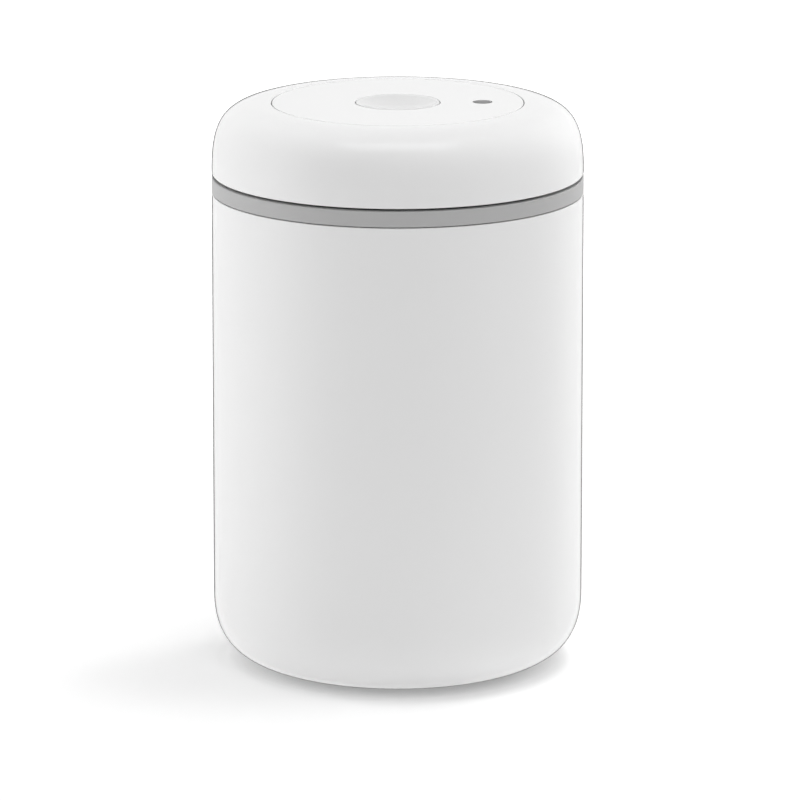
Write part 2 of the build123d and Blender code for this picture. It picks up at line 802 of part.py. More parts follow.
# Cup seal round the piston, open upwards
seal_low = seal_groove_bottom + fit_gap
seal_high = seal_groove_bottom + seal_groove_height - fit_gap
seal_root = piston_radius - seal_groove_depth + fit_gap
seal_reach = pump_radius - run_gap
seal_middle = (seal_root + seal_reach) / 2
with BuildPart() as piston_seal:
    with BuildSketch(upright()):
        Polygon(
            (seal_root, seal_low),
            (piston_radius, seal_low),
            (seal_reach, seal_high),
            (seal_middle + fit_gap, seal_high),
            (seal_middle, (seal_low + seal_high) / 2),
            (seal_middle - fit_gap, seal_high),
            (seal_root, seal_high),
            align=None,
        )
    revolve(axis=Axis.Z)
piston_seal.part.label = "piston_seal"
export_step(piston_seal.part, "parts/piston_seal.step")

# Ring between the piston and the guide tube
with BuildPart() as stem_seal:
    with BuildSketch(upright()) as stem_seal_section:
        ring_face(guide_radius + run_gap, guide_radius + stem_seal_wall, seal_low, seal_high)
        inner_corners = [(guide_radius + run_gap, seal_low), (guide_radius + run_gap, seal_high)]
        chamfer(corners(stem_seal_section, *inner_corners), edge_round)
    revolve(axis=Axis.Z)
stem_seal.part.label = "stem_seal"
export_step(stem_seal.part, "parts/stem_seal.step")

# Pins pressed into the piston's tube that reach through the tower into the cam slots
with BuildPart() as cam_pins:
    for angle in pin_angles:
        with BuildSketch(facing(angle, pin_low).offset(tube_radius - pin_bite)):
            Circle(pin_radius)
        extrude(amount=sleeve_radius - clear_gap - tube_radius + pin_bite)
cam_pins.part.label = "cam_pins"
export_step(cam_pins.part, "parts/cam_pins.step")

# Exhaust valve on the piston's web
with BuildPart() as exhaust_valve:
    with BuildSketch(Plane(origin=(0, exhaust_circle, 0), x_dir=(1, 0, 0), z_dir=(0, -1, 0))):
        umbrella_section(web_top, piston_web)
    revolve(axis=Axis((0, exhaust_circle, 0), (0, 0, 1)))
exhaust_valve.part.label = "exhaust_valve"
export_step(exhaust_valve.part, "parts/exhaust_valve.step")

# Button: dished crown, guiding skirt and a hub for the stem
with BuildPart() as release_button:
    with BuildSketch(upright()) as button_section:
        with BuildLine():
            dish_edge = (button_radius - button_lip, top)
            dish_depth_point = (0, top - dish_depth)
            TangentArc(dish_depth_point, dish_edge, tangent=(1, 0))
            Polyline(
                dish_edge,
                (button_radius, top),
                (button_radius, top - button_skirt),
                (button_radius - button_wall, top - button_skirt),
                (button_radius - button_wall, top - button_crown),
                (hub_radius, top - button_crown),
                (hub_radius, hub_bottom),
                (stem_radius + fit_gap, hub_bottom),
                (stem_radius + fit_gap, top - button_crown),
                (0, top - button_crown),
                dish_depth_point,
            )
        make_face()
        fillet(corners(button_section, (button_radius, top)), button_lip / 2)
    revolve(axis=Axis.Z)
release_button.part.label = "release_button"
export_step(release_button.part, "parts/release_button.step")

# Stem with the flange that carries the release seal
with BuildPart() as release_stem:
    with BuildSketch(upright()):
        ring_face(0, stem_radius, stem_bottom, top - button_crown)
        ring_face(0, release_seal_radius, stem_bottom, release_seal_bottom)
    revolve(axis=Axis.Z)
release_stem.part.label = "release_stem"
export_step(release_stem.part, "parts/release_stem.step")

# Seal that closes the guide tube's port from below
with BuildPart() as release_seal:
    with BuildSketch(upright()) as release_seal_section:
        ring_face(stem_radius + fit_gap, release_seal_radius, release_seal_bottom, release_seal_top)
        chamfer(corners(release_seal_section, (release_seal_radius, release_seal_top)), edge_round)
    revolve(axis=Axis.Z)
release_seal.part.label = "release_seal"
export_step(release_seal.part, "parts/release_seal.step")


def coil_start(coil_radius, pitch, low):
    """Plane square to the start of a right-hand coil."""
    slope = degrees(atan(pitch / (2 * pi * coil_radius)))
    across = Plane(origin=(coil_radius, 0, low), x_dir=(1, 0, 0), z_dir=(0, 1, 0))
    return across.rotated((slope, 0, 0))


# Coil between the guide tube's end and the button's hub
button_coil_height = button_spring_room - 2 * (button_wire_radius + fit_gap)
button_coil_pitch = button_coil_height / button_turns
button_coil_low = guide_top + button_wire_radius + fit_gap
with BuildPart() as button_spring:
    with BuildLine():
        Helix(button_coil_pitch, button_coil_height, button_coil_radius, center=(0, 0, button_coil_low))
    with BuildSketch(coil_start(button_coil_radius, button_coil_pitch, button_coil_low)):
        Circle(button_wire_radius)
    sweep(is_frenet=True)
button_spring.part.label = "button_spring"
export_step(button_spring.part, "parts/button_spring.step")

# Coil between the housing's shelf and the indicator's head, moved out to the column
indicator_coil_height = indicator_spring_room - 2 * (indicator_wire_radius + fit_gap)
indicator_coil_pitch = indicator_coil_height / indicator_turns
indicator_coil_low = shelf_top + indicator_wire_radius + fit_gap
with BuildPart() as indicator_coil:
    with BuildLine():
        Helix(
            indicator_coil_pitch,
            indicator_coil_height,
            indicator_coil_radius,
            center=(0, 0, indicator_coil_low),
        )
    with BuildSketch(coil_start(indicator_coil_radius, indicator_coil_pitch, indicator_coil_low)):
        Circle(indicator_wire_radius)
    sweep(is_frenet=True)

with BuildPart() as indicator_spring:
    with Locations((post_circle, 0, 0)):
        add(indicator_coil.part)
indicator_spring.part.label = "indicator_spring"
export_step(indicator_spring.part, "parts/indicator_spring.step")

print("overall height", round(top, 3), "width", round(2 * body_radius, 3))
print("pump stroke", round(stroke, 3), "per", twist_angle, "degrees")
print("inner radius", round(body_radius - shell_wall, 3), "and room below the filter", round(filter_top, 3))
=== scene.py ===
import math

import bmesh
import bpy
from mathutils import Matrix, Vector


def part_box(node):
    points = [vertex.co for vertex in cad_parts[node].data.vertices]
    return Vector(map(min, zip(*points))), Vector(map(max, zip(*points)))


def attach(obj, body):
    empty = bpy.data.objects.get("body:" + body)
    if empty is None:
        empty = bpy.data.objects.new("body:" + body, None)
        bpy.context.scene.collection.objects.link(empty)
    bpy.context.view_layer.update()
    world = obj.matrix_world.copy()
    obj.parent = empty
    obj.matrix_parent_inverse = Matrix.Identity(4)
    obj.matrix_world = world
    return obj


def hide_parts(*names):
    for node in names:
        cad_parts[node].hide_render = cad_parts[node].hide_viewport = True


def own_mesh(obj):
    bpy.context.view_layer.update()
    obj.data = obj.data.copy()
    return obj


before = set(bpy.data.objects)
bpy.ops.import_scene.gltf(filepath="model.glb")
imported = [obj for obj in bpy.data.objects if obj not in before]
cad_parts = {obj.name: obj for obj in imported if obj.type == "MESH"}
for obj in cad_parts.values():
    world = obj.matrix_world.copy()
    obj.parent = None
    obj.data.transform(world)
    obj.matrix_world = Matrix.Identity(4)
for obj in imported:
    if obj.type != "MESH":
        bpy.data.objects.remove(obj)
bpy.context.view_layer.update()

MM = 0.001
scene = bpy.context.scene
scene.view_settings.view_transform = "Standard"

# Camera: a long lens a little above the canister, its image plane 36 mm wide
CAMERA_DISTANCE = 2360.2 * MM
CAMERA_TILT = math.radians(13.19)
CAMERA_AIM_HEIGHT = 89.49 * MM
CAMERA_LENS = 315.2
CAMERA_SENSOR = 36.0
CAMERA_REACH = 20.0
AXIS_OFFSET_PX = 2.27
IMAGE_WIDTH_PX = 800

# Steps round a turned shape, in a rounded corner, curve and slot end, and in a turn of a coil
TURN_STEPS = 256
SMALL_TURN_STEPS = 64
SCREW_STEPS = 32
CORNER_STEPS = 6
CURVE_STEPS = 28
SLOT_END_STEPS = 8
COIL_STEPS = 36
WIRE_SIDES = 12

# An edge sharper than this stays sharp, an outline's point nearer to the axis than this is on
# it, and a face whose normal rises more than this looks up
SHARP_ANGLE = math.radians(32)
ON_AXIS = 1e-7
UPWARD = 0.5

# Sizes that the frame's boxes don't give. Rounding of an edge in sight, and of a finer one:
EDGE_ROUND = 0.4 * MM
FINE_ROUND = 0.2 * MM

# Body, with its base recess and its neck under the rim
SHELL_WALL = 1.0 * MM
STANDING_RADIUS = 33.0 * MM
CORNER_RISE = 23.9 * MM
CORNER_SHARE = 0.705
RECESS_RADIUS = 24.0 * MM
RECESS_DEPTH = 1.2 * MM
RECESS_SLOPE = 3.0 * MM
NECK_DEPTH = 8.0 * MM
RIM_LEDGE = 3.8 * MM
RIM_ROUND = 0.35 * MM

# Band, cap and disc, and the narrow gaps in the disc
COLLAR_WALL = 2.4 * MM
BAND_ROUND = 0.25 * MM
CAP_WALL = 2.4 * MM
CROWN_RISE = 22.35 * MM
CROWN_SHARE = 0.77
CAP_EDGE_ROUND = 0.9 * MM
CAP_SKIRT_REACH = 3.0 * MM
PLATE_GAP = 0.22 * MM
PLATE_WALL = 2.2 * MM
BUTTON_GAP = 0.22 * MM
DOT_GAP = 0.3 * MM

# Button and dot, and how far each goes down
DISH_DEPTH = 2.1 * MM
BUTTON_LIP = 0.7 * MM
BUTTON_WALL = 1.6 * MM
BUTTON_CROWN = 3.2 * MM
BUTTON_HUB_REACH = 2.0 * MM
DOT_DEPTH = 2.4 * MM

# Diaphragm: its inner corners are tighter than its outer ones by the share
DIAPHRAGM_WALL = 0.5 * MM
DIAPHRAGM_RIM = 1.65 * MM
DIAPHRAGM_CROWN = 2.6 * MM
DIAPHRAGM_CROWN_ROUND = 0.8 * MM
DIAPHRAGM_ROLL_ROUND = 0.4 * MM
DIAPHRAGM_EDGE_ROUND = 0.1 * MM
DIAPHRAGM_INNER_SHARE = 0.75

# Gasket and its lips
FIT_GAP = 0.05 * MM
GASKET_DEPTH = 1.5 * MM
GASKET_REACH = 0.95 * MM
LIP_COUNT = 3
LIP_RISE = 0.9 * MM
LIP_WALL = 0.45 * MM
GASKET_ROUND = 0.15 * MM
LIP_ROOT_ROUND = 0.1 * MM
LIP_TIP_ROUND = 0.12 * MM

# Filter cup and its two rings of slots
FILTER_WALL = 1.0 * MM
FILTER_HUB = 9.0 * MM
FILTER_RIM = 10.4 * MM
FILTER_BRIDGE = 4.0 * MM
FILTER_SLOT = 1.6 * MM
INNER_SLOTS = 12
OUTER_SLOTS = 30

# Screws
HEAD_HEIGHT = 1.6 * MM
HEAD_RADIUS = 2.6 * MM
HEAD_ROUND = 0.8 * MM
THREAD_RADIUS = 1.25 * MM
THREAD_CORE = 0.9 * MM
THREAD_PITCH = 1.0 * MM
THREAD_UNDERCUT = 0.1 * MM
SCREW_SPACING = math.radians(60)
COVER_SCREWS = 5
DRIVER_SCREWS = 6
COVER_SCREW_LENGTH = 9.0 * MM
CROSS_REACH = 1.3 * MM
CROSS_WIDTH = 0.5 * MM
CROSS_BITE = 0.9 * MM


def linear(hex_colour):
    """sRGB hex value as a linear colour with alpha."""
    channels = [int(hex_colour[i:i + 2], 16) / 255 for i in (0, 2, 4)]
    return [c / 12.92 if c <= 0.04045 else ((c + 0.055) / 1.055) ** 2.4 for c in channels] + [1.0]


def add_node(tree, kind, settings=None, links=None):
    """Adds a node to a tree: a setting is an attribute or an input's value, a link feeds it."""
    node = tree.nodes.new(kind)
    for name, value in (settings or {}).items():
        if isinstance(name, str) and hasattr(node, name):
            setattr(node, name, value)
        else:
            node.inputs[name].default_value = value
    for name, socket in (links or {}).items():
        tree.links.new(socket, node.inputs[name])
    return node


# Materials: each grain is finer than a pixel of the photo, so it is drawn coarser than the real
# one, and shallow, to show in a near view and leave the photo's even surface in the main one

PLASTIC_SPECULAR = 0.3
FILM_ROUGHNESS = 0.05
ROUGHNESS_SPREAD = 0.03
RING_STRENGTH = 0.3
RING_DEPTH = 0.01 * MM
RING_SPREAD = 0.06


def new_material(name):
    material = bpy.data.materials.new(name)
    material.use_nodes = True
    material.node_tree.nodes.clear()
    return material, material.node_tree


def finish_surface(tree, shader):
    add_node(tree, "ShaderNodeOutputMaterial", links={"Surface": shader.outputs[0]})


def fine_relief(tree, grain, depth, strength):
    """Normal of a fine moulded or sprayed grain, from its real spacing and depth."""
    place = add_node(tree, "ShaderNodeTexCoord")
    noise = add_node(
        tree,
        "ShaderNodeTexNoise",
        {"Scale": 1 / grain, "Detail": 2.0, "Roughness": 0.5},
        {"Vector": place.outputs["Object"]},
    )
    bump = add_node(
        tree,
        "ShaderNodeBump",
        {"Strength": strength, "Distance": depth},
        {"Height": noise.outputs["Fac"]},
    )
    return place, bump


def mottled(tree, place, patch, middle, spread):
    """Slowly varying value round a middle one, for a roughness that isn't quite even."""
    noise = add_node(
        tree,
        "ShaderNodeTexNoise",
        {"Scale": 1 / patch, "Detail": 3.0},
        {"Vector": place.outputs["Object"]},
    )
    limits = add_node(
        tree,
        "ShaderNodeMapRange",
        {"To Min": middle - spread, "To Max": middle + spread},
        {"Value": noise.outputs["Fac"]},
    )
    return limits.outputs["Result"]


def powder_coat():
    """Polyester powder coat, sprayed and baked: an even matt white with a faint orange peel.

    Its resin gives the soft line of light, or of the dark card, along the outline. Real peel is
    about 0.5 mm across, drawn here at 0.9 mm.
    """
    material, tree = new_material("white_powder_coat")
    place, bump = fine_relief(tree, grain=0.9 * MM, depth=0.02 * MM, strength=0.08)
    shader = add_node(
        tree,
        "ShaderNodeBsdfPrincipled",
        {
            "Base Color": linear("F0F0F0"),
            "IOR": 1.5,
            "Specular IOR Level": PLASTIC_SPECULAR,
            "Coat Weight": 1.0,
            "Coat Roughness": FILM_ROUGHNESS,
        },
        {
            "Normal": bump.outputs["Normal"],
            "Roughness": mottled(tree, place, patch=9 * MM, middle=0.5, spread=0.04),
        },
    )
    finish_surface(tree, shader)
    return material


def moulded_abs(name, colour, roughness, gloss=1.0):
    """ABS from a spark-eroded mould: evenly matt, with wide soft highlights on its curves.

    The texture's pits are about 0.05 mm across in the real mould, drawn here at 0.35 mm.
    """
    material, tree = new_material(name)
    place, bump = fine_relief(tree, grain=0.35 * MM, depth=0.012 * MM, strength=0.05)
    shader = add_node(
        tree,
        "ShaderNodeBsdfPrincipled",
        {
            "Base Color": linear(colour),
            "IOR": 1.54,
            "Specular IOR Level": PLASTIC_SPECULAR,
            "Coat Weight": gloss,
            "Coat Roughness": FILM_ROUGHNESS,
        },
        {
            "Normal": bump.outputs["Normal"],
            "Roughness": mottled(tree, place, 7 * MM, roughness, ROUGHNESS_SPREAD),
        },
    )
    finish_surface(tree, shader)
    return material


def silicone(name, colour, roughness, softness):
    """Compression-moulded silicone rubber: satin, and where it is clear, milky and soft-edged.

    The mould's faint grain is about 0.1 mm across in the real part, drawn here at 0.6 mm.
    """
    material, tree = new_material(name)
    place, bump = fine_relief(tree, grain=0.6 * MM, depth=0.01 * MM, strength=0.2)
    shader = add_node(
        tree,
        "ShaderNodeBsdfPrincipled",
        {
            "Base Color": linear(colour),
            "IOR": 1.41,
            "Subsurface Weight": softness,
            "Subsurface Radius": (1.0, 1.0, 1.0),
            "Subsurface Scale": 1.5 * MM,
        },
        {
            "Normal": bump.outputs["Normal"],
            "Roughness": mottled(tree, place, 8 * MM, roughness, ROUGHNESS_SPREAD),
        },
    )
    finish_surface(tree, shader)
    return material


def spun_steel(name, colour, roughness, ring_spacing):
    """Bare steel, spun, plated or drawn: a soft metal gloss broken by fine rings.

    The tool's rings are about 0.1 mm apart on the real one, drawn here wider.
    """
    material, tree = new_material(name)
    place = add_node(tree, "ShaderNodeTexCoord")
    parts = add_node(tree, "ShaderNodeSeparateXYZ", links={"Vector": place.outputs["Object"]})
    across = add_node(
        tree,
        "ShaderNodeMath",
        {"operation": "MULTIPLY"},
        {0: parts.outputs["X"], 1: parts.outputs["X"]},
    )
    square = add_node(
        tree,
        "ShaderNodeMath",
        {"operation": "MULTIPLY_ADD"},
        {0: parts.outputs["Y"], 1: parts.outputs["Y"], 2: across.outputs[0]},
    )
    radius = add_node(tree, "ShaderNodeMath", {"operation": "SQRT"}, {0: square.outputs[0]})
    ring = add_node(
        tree, "ShaderNodeCombineXYZ", links={"X": radius.outputs[0], "Z": parts.outputs["Z"]}
    )
    lines = add_node(
        tree,
        "ShaderNodeTexNoise",
        {"Scale": 1 / ring_spacing, "Detail": 3.0, "Roughness": 0.6},
        {"Vector": ring.outputs[0]},
    )
    bump = add_node(
        tree,
        "ShaderNodeBump",
        {"Strength": RING_STRENGTH, "Distance": RING_DEPTH},
        {"Height": lines.outputs["Fac"]},
    )
    spread = add_node(
        tree,
        "ShaderNodeMapRange",
        {"To Min": roughness - RING_SPREAD, "To Max": roughness + RING_SPREAD},
        {"Value": lines.outputs["Fac"]},
    )
    shader = add_node(
        tree,
        "ShaderNodeBsdfPrincipled",
        {"Base Color": linear(colour), "Metallic": 1.0},
        {"Normal": bump.outputs["Normal"], "Roughness": spread.outputs["Result"]},
    )
    finish_surface(tree, shader)
    return material


WHITE_COAT = powder_coat()
# Inside of the canister, left bare and brushed by the spinning tool: a mid grey with a soft sheen,
# its colour lifted above bare steel's as painted light for an inside that mirrors little of the
# bright surround
BARE_STEEL = spun_steel("spun_stainless_steel", "E8E8E7", 0.36, 0.5 * MM)
# Cap and disc: the same white as the coat, so that lid and body look like one
WHITE_ABS = moulded_abs("white_matt_abs", "F1F1F1", 0.5)
# Button: satin, its colour darker than the disc round it: painted shade of its sunken dish
BUTTON_ABS = moulded_abs("white_satin_abs", "E3E3E3", 0.42, gloss=0.7)
# Plug, cover and filter inside the lid: mid grey, the mould's matt face
GREY_ABS = moulded_abs("grey_moulded_abs", "6A6B6D", 0.48)
# Dot: flat grey with next to no gloss, so that it reads dark even at a low angle
DOT_ABS = moulded_abs("grey_dot_abs", "696969", 0.5, gloss=0.2)
# Sliding parts: undyed and a little waxy, with a tighter highlight
ACETAL = moulded_abs("natural_acetal", "E4E2DA", 0.36)
# Band: opaque grey, duller than the white above and below it
GREY_SILICONE = silicone("grey_band_silicone", "B8B8B8", 0.5, 0.0)
# Seals, valves and gasket: unpigmented, so light goes a little way in
CLEAR_SILICONE = silicone("milky_seal_silicone", "DAD9D4", 0.38, 0.35)
# Screws, pins and stem: bright bluish plating
ZINC_STEEL = spun_steel("zinc_plated_steel", "C2C4C6", 0.28, 0.2 * MM)
# Springs and clip: darker drawn wire with a sharp line of light
SPRING_STEEL = spun_steel("drawn_spring_steel", "B4B3B0", 0.24, 0.15 * MM)


# Turned shapes: outlines are lists of (radius, height, corner radius), going round once

def rounded(outline):
    """Outline's points with each corner that has a radius turned into an arc."""
    points = []
    count = len(outline)
    for i, (x, y, radius) in enumerate(outline):
        here = Vector((x, y))
        if not radius:
            points.append(here)
            continue
        before = (Vector(outline[i - 1][:2]) - here).normalized()
        after = (Vector(outline[(i + 1) % count][:2]) - here).normalized()
        half = before.angle(after) / 2
        reach = radius / math.tan(half)
        middle = here + (before + after).normalized() * radius / math.sin(half)
        start = here + before * reach - middle
        end = here + after * reach - middle
        sweep = start.angle_signed(end)
        for step in range(CORNER_STEPS + 1):
            turned_by = Matrix.Rotation(-sweep * step / CORNER_STEPS, 2)
            points.append(middle + turned_by @ start)
    return points


def soft_corner(flat_point, wall_point, share):
    """Points of a curve from a flat stretch to an upright wall, as sharp corners of an outline."""
    flat, wall = Vector(flat_point), Vector(wall_point)
    flat_handle = Vector((flat.x + share * (wall.x - flat.x), flat.y))
    wall_handle = Vector((wall.x, wall.y + share * (flat.y - wall.y)))
    points = []
    for step in range(CURVE_STEPS + 1):
        t = step / CURVE_STEPS
        point = (
            flat * (1 - t) ** 3
            + flat_handle * 3 * t * (1 - t) ** 2
            + wall_handle * 3 * t * t * (1 - t)
            + wall * t ** 3
        )
        points.append((point.x, point.y, 0))
    return points


def turn(name, outline, finish, centre=(0.0, 0.0), steps=TURN_STEPS):
    """Closed outline turned about an upright axis, as a smooth mesh at its place."""
    profile = rounded(outline)
    mesh = bpy.data.meshes.new(name)
    shape = bmesh.new()
    angles = [2 * math.pi * step / steps for step in range(steps)]
    rings = []
    for point in profile:
        if point.x < ON_AXIS:
            rings.append([shape.verts.new((centre[0], centre[1], point.y))])
            continue
        rings.append([
            shape.verts.new((
                centre[0] + point.x * math.cos(a), centre[1] + point.x * math.sin(a), point.y
            ))
            for a in angles
        ])
    for lower, upper in zip(rings, rings[1:] + rings[:1]):
        if len(lower) == 1 and len(upper) == 1:
            continue
        for step in range(steps):
            following = (step + 1) % steps
            corners = [
                lower[step % len(lower)],
                lower[following % len(lower)],
                upper[following % len(upper)],
                upper[step % len(upper)],
            ]
            shape.faces.new(list(dict.fromkeys(corners)))
    bmesh.ops.recalc_face_normals(shape, faces=shape.faces)
    shape.to_mesh(mesh)
    shape.free()
    return dress(mesh, name, finish)


def dress(mesh, name, finish):
    """Object of a mesh, smooth but for its real edges, with its finish."""
    for polygon in mesh.polygons:
        polygon.use_smooth = True
    mesh.set_sharp_from_angle(angle=SHARP_ANGLE)
    mesh.materials.clear()
    mesh.materials.append(finish)
    piece = bpy.data.objects.new(name, mesh)
    scene.collection.objects.link(piece)
    return level_flats(piece)


def finished_mesh(piece):
    """The piece's mesh with its modifiers worked in."""
    depsgraph = bpy.context.evaluated_depsgraph_get()
    return bpy.data.meshes.new_from_object(piece.evaluated_get(depsgraph))


def level_flats(piece):
    """Lets the large faces set the normals, so that a flat stays flat beside its rounded edge."""
    even = piece.modifiers.new("normals", "WEIGHTED_NORMAL")
    even.keep_sharp = True
    shaded = finished_mesh(piece)
    piece.modifiers.clear()
    piece.data = shaded
    return piece


# Repeated and wound pieces: each tree has named inputs for its sizes and ends in one plain mesh

def new_tree(name, **inputs):
    """Geometry tree with a named input socket of each kind given, and its input node."""
    tree = bpy.data.node_groups.new(name, "GeometryNodeTree")
    tree.interface.new_socket("Geometry", in_out="INPUT", socket_type="NodeSocketGeometry")
    for label, kind in inputs.items():
        tree.interface.new_socket(label, in_out="INPUT", socket_type="NodeSocket" + kind)
    tree.interface.new_socket("Finish", in_out="INPUT", socket_type="NodeSocketMaterial")
    tree.interface.new_socket("Geometry", in_out="OUTPUT", socket_type="NodeSocketGeometry")
    return tree, add_node(tree, "NodeGroupInput").outputs


def end_tree(tree, given, shape):
    """Turns the tree's shape into real faces with the given material."""
    solid = add_node(tree, "GeometryNodeRealizeInstances", links={"Geometry": shape})
    finished = add_node(
        tree,
        "GeometryNodeSetMaterial",
        links={"Geometry": solid.outputs[0], "Material": given["Finish"]},
    )
    add_node(tree, "NodeGroupOutput", links={"Geometry": finished.outputs[0]})


def grow(name, tree, finish, **sizes):
    """Object with the plain mesh that a tree gives for these sizes, in one finish."""
    holder = bpy.data.objects.new(name, bpy.data.meshes.new(name))
    scene.collection.objects.link(holder)
    growth = holder.modifiers.new("growth", "NODES")
    growth.node_group = tree
    sizes["Finish"] = finish
    for item in tree.interface.items_tree:
        if item.in_out == "INPUT" and item.name in sizes:
            growth[item.identifier] = sizes[item.name]
    mesh = finished_mesh(holder)
    bpy.data.objects.remove(holder)
    return dress(mesh, name, finish)


def coil_tree():
    """Compression spring: wire on a helix whose first and last turns lie closed."""
    tree, given = new_tree(
        "coil_spring",
        Radius="Float",
        Wire="Float",
        Low="Float",
        High="Float",
        Turns="Float",
        Centre="Float",
    )
    helix = add_node(
        tree,
        "GeometryNodeCurveSpiral",
        {"Resolution": COIL_STEPS, "Height": 0.0},
        {
            "Rotations": given["Turns"],
            "Start Radius": given["Radius"],
            "End Radius": given["Radius"],
        },
    )
    along = add_node(tree, "GeometryNodeSplineParameter")
    turn_now = add_node(
        tree,
        "ShaderNodeMath",
        {"operation": "MULTIPLY"},
        {0: along.outputs["Factor"], 1: given["Turns"]},
    )
    last_start = add_node(
        tree, "ShaderNodeMath", {"operation": "SUBTRACT", 1: 1.0}, {0: given["Turns"]}
    )
    thickness = add_node(
        tree, "ShaderNodeMath", {"operation": "MULTIPLY", 1: 2.0}, {0: given["Wire"]}
    )
    length = add_node(
        tree, "ShaderNodeMath", {"operation": "SUBTRACT"}, {0: given["High"], 1: given["Low"]}
    )
    # The two closed turns rise one wire thickness each, and the wire's own thickness is a third
    free_length = add_node(
        tree,
        "ShaderNodeMath",
        {"operation": "MULTIPLY_ADD", 1: -3.0},
        {0: thickness.outputs[0], 2: length.outputs[0]},
    )
    first_rise = add_node(
        tree,
        "ShaderNodeMapRange",
        links={"Value": turn_now.outputs[0], "To Max": thickness.outputs[0]},
    )
    free_rise = add_node(
        tree,
        "ShaderNodeMapRange",
        {"From Min": 1.0},
        {
            "Value": turn_now.outputs[0],
            "From Max": last_start.outputs[0],
            "To Max": free_length.outputs[0],
        },
    )
    last_rise = add_node(
        tree,
        "ShaderNodeMapRange",
        links={
            "Value": turn_now.outputs[0],
            "From Min": last_start.outputs[0],
            "From Max": given["Turns"],
            "To Max": thickness.outputs[0],
        },
    )
    height = add_node(
        tree, "ShaderNodeMath", {"operation": "ADD"}, {0: given["Low"], 1: given["Wire"]}
    )
    for rise in (first_rise, free_rise, last_rise):
        height = add_node(
            tree,
            "ShaderNodeMath",
            {"operation": "ADD"},
            {0: height.outputs[0], 1: rise.outputs["Result"]},
        )
    place = add_node(
        tree, "ShaderNodeCombineXYZ", links={"X": given["Centre"], "Z": height.outputs[0]}
    )
    coil = add_node(
        tree,
        "GeometryNodeSetPosition",
        links={"Geometry": helix.outputs["Curve"], "Offset": place.outputs["Vector"]},
    )
    section = add_node(
        tree,
        "GeometryNodeCurvePrimitiveCircle",
        {"Resolution": WIRE_SIDES},
        {"Radius": given["Wire"]},
    )
    wire = add_node(
        tree,
        "GeometryNodeCurveToMesh",
        {"Fill Caps": True},
        {"Curve": coil.outputs["Geometry"], "Profile Curve": section.outputs["Curve"]},
    )
    end_tree(tree, given, wire.outputs["Mesh"])
    return tree


def ring_tree():
    """Copies of one object on a circle, each turned to face outwards."""
    tree, given = new_tree(
        "ring_of_copies",
        Copy="Object",
        Count="Int",
        Circle="Float",
        First="Float",
        Step="Float",
        Level="Float",
    )
    index = add_node(tree, "GeometryNodeInputIndex")
    angle = add_node(
        tree,
        "ShaderNodeMath",
        {"operation": "MULTIPLY_ADD"},
        {0: index.outputs[0], 1: given["Step"], 2: given["First"]},
    )
    facing = add_node(tree, "ShaderNodeCombineXYZ", links={"Z": angle.outputs[0]})
    outwards = add_node(
        tree, "ShaderNodeCombineXYZ", links={"X": given["Circle"], "Z": given["Level"]}
    )
    place = add_node(
        tree,
        "ShaderNodeVectorRotate",
        {"rotation_type": "Z_AXIS"},
        {"Vector": outwards.outputs["Vector"], "Angle": angle.outputs[0]},
    )
    points = add_node(
        tree,
        "GeometryNodePoints",
        links={"Count": given["Count"], "Position": place.outputs["Vector"]},
    )
    copy = add_node(tree, "GeometryNodeObjectInfo", links={"Object": given["Copy"]})
    copies = add_node(
        tree,
        "GeometryNodeInstanceOnPoints",
        links={
            "Points": points.outputs[0],
            "Instance": copy.outputs["Geometry"],
            "Rotation": facing.outputs["Vector"],
        },
    )
    end_tree(tree, given, copies.outputs["Instances"])
    return tree


COIL = coil_tree()
RING = ring_tree()


def fit(piece, body, slot, *nodes):
    """The piece stands for these nodes and rides on their body; the slot is not used."""
    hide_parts(*nodes)
    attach(piece, body)
    return piece


# Canister body: one spun sheet with a hemmed rim, coated outside and bare inside

shell_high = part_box("canister_shell")[1]
BODY_RADIUS = shell_high[0]
RIM = shell_high[2]


def canister_body():
    inner_radius = BODY_RADIUS - SHELL_WALL
    neck = BODY_RADIUS - RIM_LEDGE
    outline = [
        (0, RECESS_DEPTH, 0),
        (RECESS_RADIUS - RECESS_SLOPE, RECESS_DEPTH, 0),
        (RECESS_RADIUS, 0, 0),
    ]
    outline += soft_corner((STANDING_RADIUS, 0), (BODY_RADIUS, CORNER_RISE), CORNER_SHARE)
    outline += [
        (BODY_RADIUS, RIM, RIM_ROUND),
        (neck, RIM, EDGE_ROUND),
        (neck, RIM - NECK_DEPTH, FINE_ROUND),
        (neck + SHELL_WALL, RIM - NECK_DEPTH, FINE_ROUND),
        (neck + SHELL_WALL, RIM - SHELL_WALL, 0),
        (inner_radius, RIM - SHELL_WALL, 0),
    ]
    corner_start, corner_end = (STANDING_RADIUS, SHELL_WALL), (inner_radius, CORNER_RISE)
    outline += soft_corner(corner_start, corner_end, CORNER_SHARE)[::-1]
    outline += [
        (RECESS_RADIUS, SHELL_WALL, 0),
        (RECESS_RADIUS - RECESS_SLOPE, RECESS_DEPTH + SHELL_WALL, 0),
        (0, RECESS_DEPTH + SHELL_WALL, 0),
    ]
    body = turn("canister_body", outline, WHITE_COAT)
    body.data.materials.append(BARE_STEEL)
    for polygon in body.data.polygons:
        centre = polygon.center
        facing = polygon.normal
        radius = math.hypot(centre.x, centre.y)
        faces_in = facing.x * centre.x + facing.y * centre.y < 0 or facing.z > UPWARD
        in_neck = radius < neck + EDGE_ROUND / 2
        below_rim = radius < inner_radius + FINE_ROUND and centre.z < RIM - FINE_ROUND
        if faces_in and (in_neck or below_rim) and centre.z > SHELL_WALL / 2:
            polygon.material_index = 1
    return fit(body, "canister", "white_coated_steel", "canister_shell")


canister_body()


# Grey band round the lid base

collar_low, collar_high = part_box("collar_ring")


